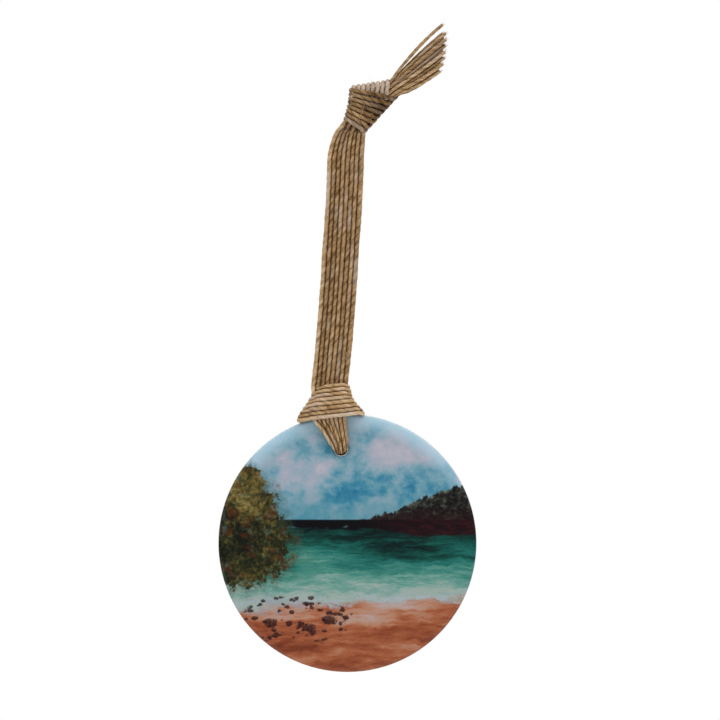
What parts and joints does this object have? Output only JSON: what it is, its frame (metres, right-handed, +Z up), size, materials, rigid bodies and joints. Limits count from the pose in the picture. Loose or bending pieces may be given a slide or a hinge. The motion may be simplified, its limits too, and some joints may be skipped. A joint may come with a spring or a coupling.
{
  "type": "hanging ornament",
  "caption": "Flat round ceramic ornament with a printed seaside picture on its face, hung on a knotted ribbon of jute twine hitched through a small hole at the rim.",
  "frame": {"origin": "inside top of the hanging loop, between the ribbon's two legs and just under the knot", "axes": "+Z up, as the ornament hangs; the printed face looks along -Y; +X to the right of someone who looks at the face"},
  "size_m": [0.076, 0.0088, 0.1907],
  "materials": {
    "glazed_ceramic": "gloss white glaze",
    "printed_coating": "gloss, printed in colour",
    "jute_twine": "dry twisted plant fibre"
  },
  "bodies": {
    "knot": {"knot_throat": "jute_twine", "knot_wrap": "jute_twine", "knot_core": "jute_twine", "knot_fold": "jute_twine", "tail_strand_1": "jute_twine", "tail_strand_2": "jute_twine", "tail_strand_3": "jute_twine", "tail_strand_4": "jute_twine", "tail_strand_5": "jute_twine", "tail_strand_6": "jute_twine", "tail_strand_7": "jute_twine", "tail_strand_8": "jute_twine"},
    "front_upper_leg": {"front_upper_strand_1": "jute_twine", "front_upper_strand_2": "jute_twine", "front_upper_strand_3": "jute_twine", "front_upper_strand_4": "jute_twine", "front_upper_strand_5": "jute_twine", "front_upper_strand_6": "jute_twine", "front_upper_strand_7": "jute_twine", "front_upper_strand_8": "jute_twine"},
    "front_lower_leg": {"front_lower_strand_1": "jute_twine", "front_lower_strand_2": "jute_twine", "front_lower_strand_3": "jute_twine", "front_lower_strand_4": "jute_twine", "front_lower_strand_5": "jute_twine", "front_lower_strand_6": "jute_twine", "front_lower_strand_7": "jute_twine", "front_lower_strand_8": "jute_twine"},
    "rear_upper_leg": {"rear_upper_strand_1": "jute_twine", "rear_upper_strand_2": "jute_twine", "rear_upper_strand_3": "jute_twine", "rear_upper_strand_4": "jute_twine", "rear_upper_strand_5": "jute_twine", "rear_upper_strand_6": "jute_twine", "rear_upper_strand_7": "jute_twine", "rear_upper_strand_8": "jute_twine"},
    "rear_lower_leg": {"rear_lower_strand_1": "jute_twine", "rear_lower_strand_2": "jute_twine", "rear_lower_strand_3": "jute_twine", "rear_lower_strand_4": "jute_twine", "rear_lower_strand_5": "jute_twine", "rear_lower_strand_6": "jute_twine", "rear_lower_strand_7": "jute_twine", "rear_lower_strand_8": "jute_twine"},
    "foot": {"leg_foot": "jute_twine"},
    "ankle": {"leg_ankle": "jute_twine"},
    "disc": {"ceramic_disc": "glazed_ceramic", "printed_face": "printed_coating", "legs_in_hitch": "jute_twine", "hitch_strand_1": "jute_twine", "hitch_strand_2": "jute_twine", "hitch_strand_3": "jute_twine", "hitch_strand_4": "jute_twine", "hitch_strand_5": "jute_twine", "hitch_strand_6": "jute_twine", "hitch_strand_7": "jute_twine", "hitch_strand_8": "jute_twine", "front_fan": "jute_twine", "rear_fan_left": "jute_twine", "rear_fan_right": "jute_twine"}
  },
  "joints": [
    {"name": "loop_open", "type": "hinge", "parent": "knot", "child": "front_upper_leg", "pos_m": [0, 0, 0], "axis": [-0.9976, 0, 0.0688], "range_deg": [0, 35]},
    {"name": "front_leg_fold", "type": "hinge", "parent": "front_upper_leg", "child": "front_lower_leg", "pos_m": [-0.00165, 0, -0.02394], "axis": [-0.9976, 0, 0.0688], "range_deg": [-70, 0]},
    {"name": "foot_fold", "type": "hinge", "parent": "front_lower_leg", "child": "foot", "pos_m": [-0.0033, 0, -0.04789], "axis": [-0.9976, 0, 0.0688], "range_deg": [0, 35]},
    {"name": "rear_leg_open", "type": "hinge", "parent": "knot", "child": "rear_upper_leg", "pos_m": [0, 0, 0], "axis": [-0.9976, 0, 0.0688], "range_deg": [-35, 0]},
    {"name": "rear_leg_fold", "type": "hinge", "parent": "rear_upper_leg", "child": "rear_lower_leg", "pos_m": [-0.00165, 0, -0.02394], "axis": [-0.9976, 0, 0.0688], "range_deg": [0, 70]},
    {"name": "ribbon_twist", "type": "hinge", "parent": "foot", "child": "ankle", "pos_m": [-0.00396, 0, -0.05746], "axis": [0.0688, 0, 0.9976], "range_deg": [-60, 60]},
    {"name": "disc_swing", "type": "hinge", "parent": "ankle", "child": "disc", "pos_m": [-0.00446, 0, -0.06475], "axis": [-0.9976, 0, 0.0688], "range_deg": [-45, 45]}
  ],
  "couplings": [
    {"joint": "front_leg_fold", "follows": "loop_open", "ratio": -2},
    {"joint": "foot_fold", "follows": "loop_open", "ratio": 1},
    {"joint": "rear_leg_open", "follows": "loop_open", "ratio": -1},
    {"joint": "rear_leg_fold", "follows": "loop_open", "ratio": 2}
  ]
}
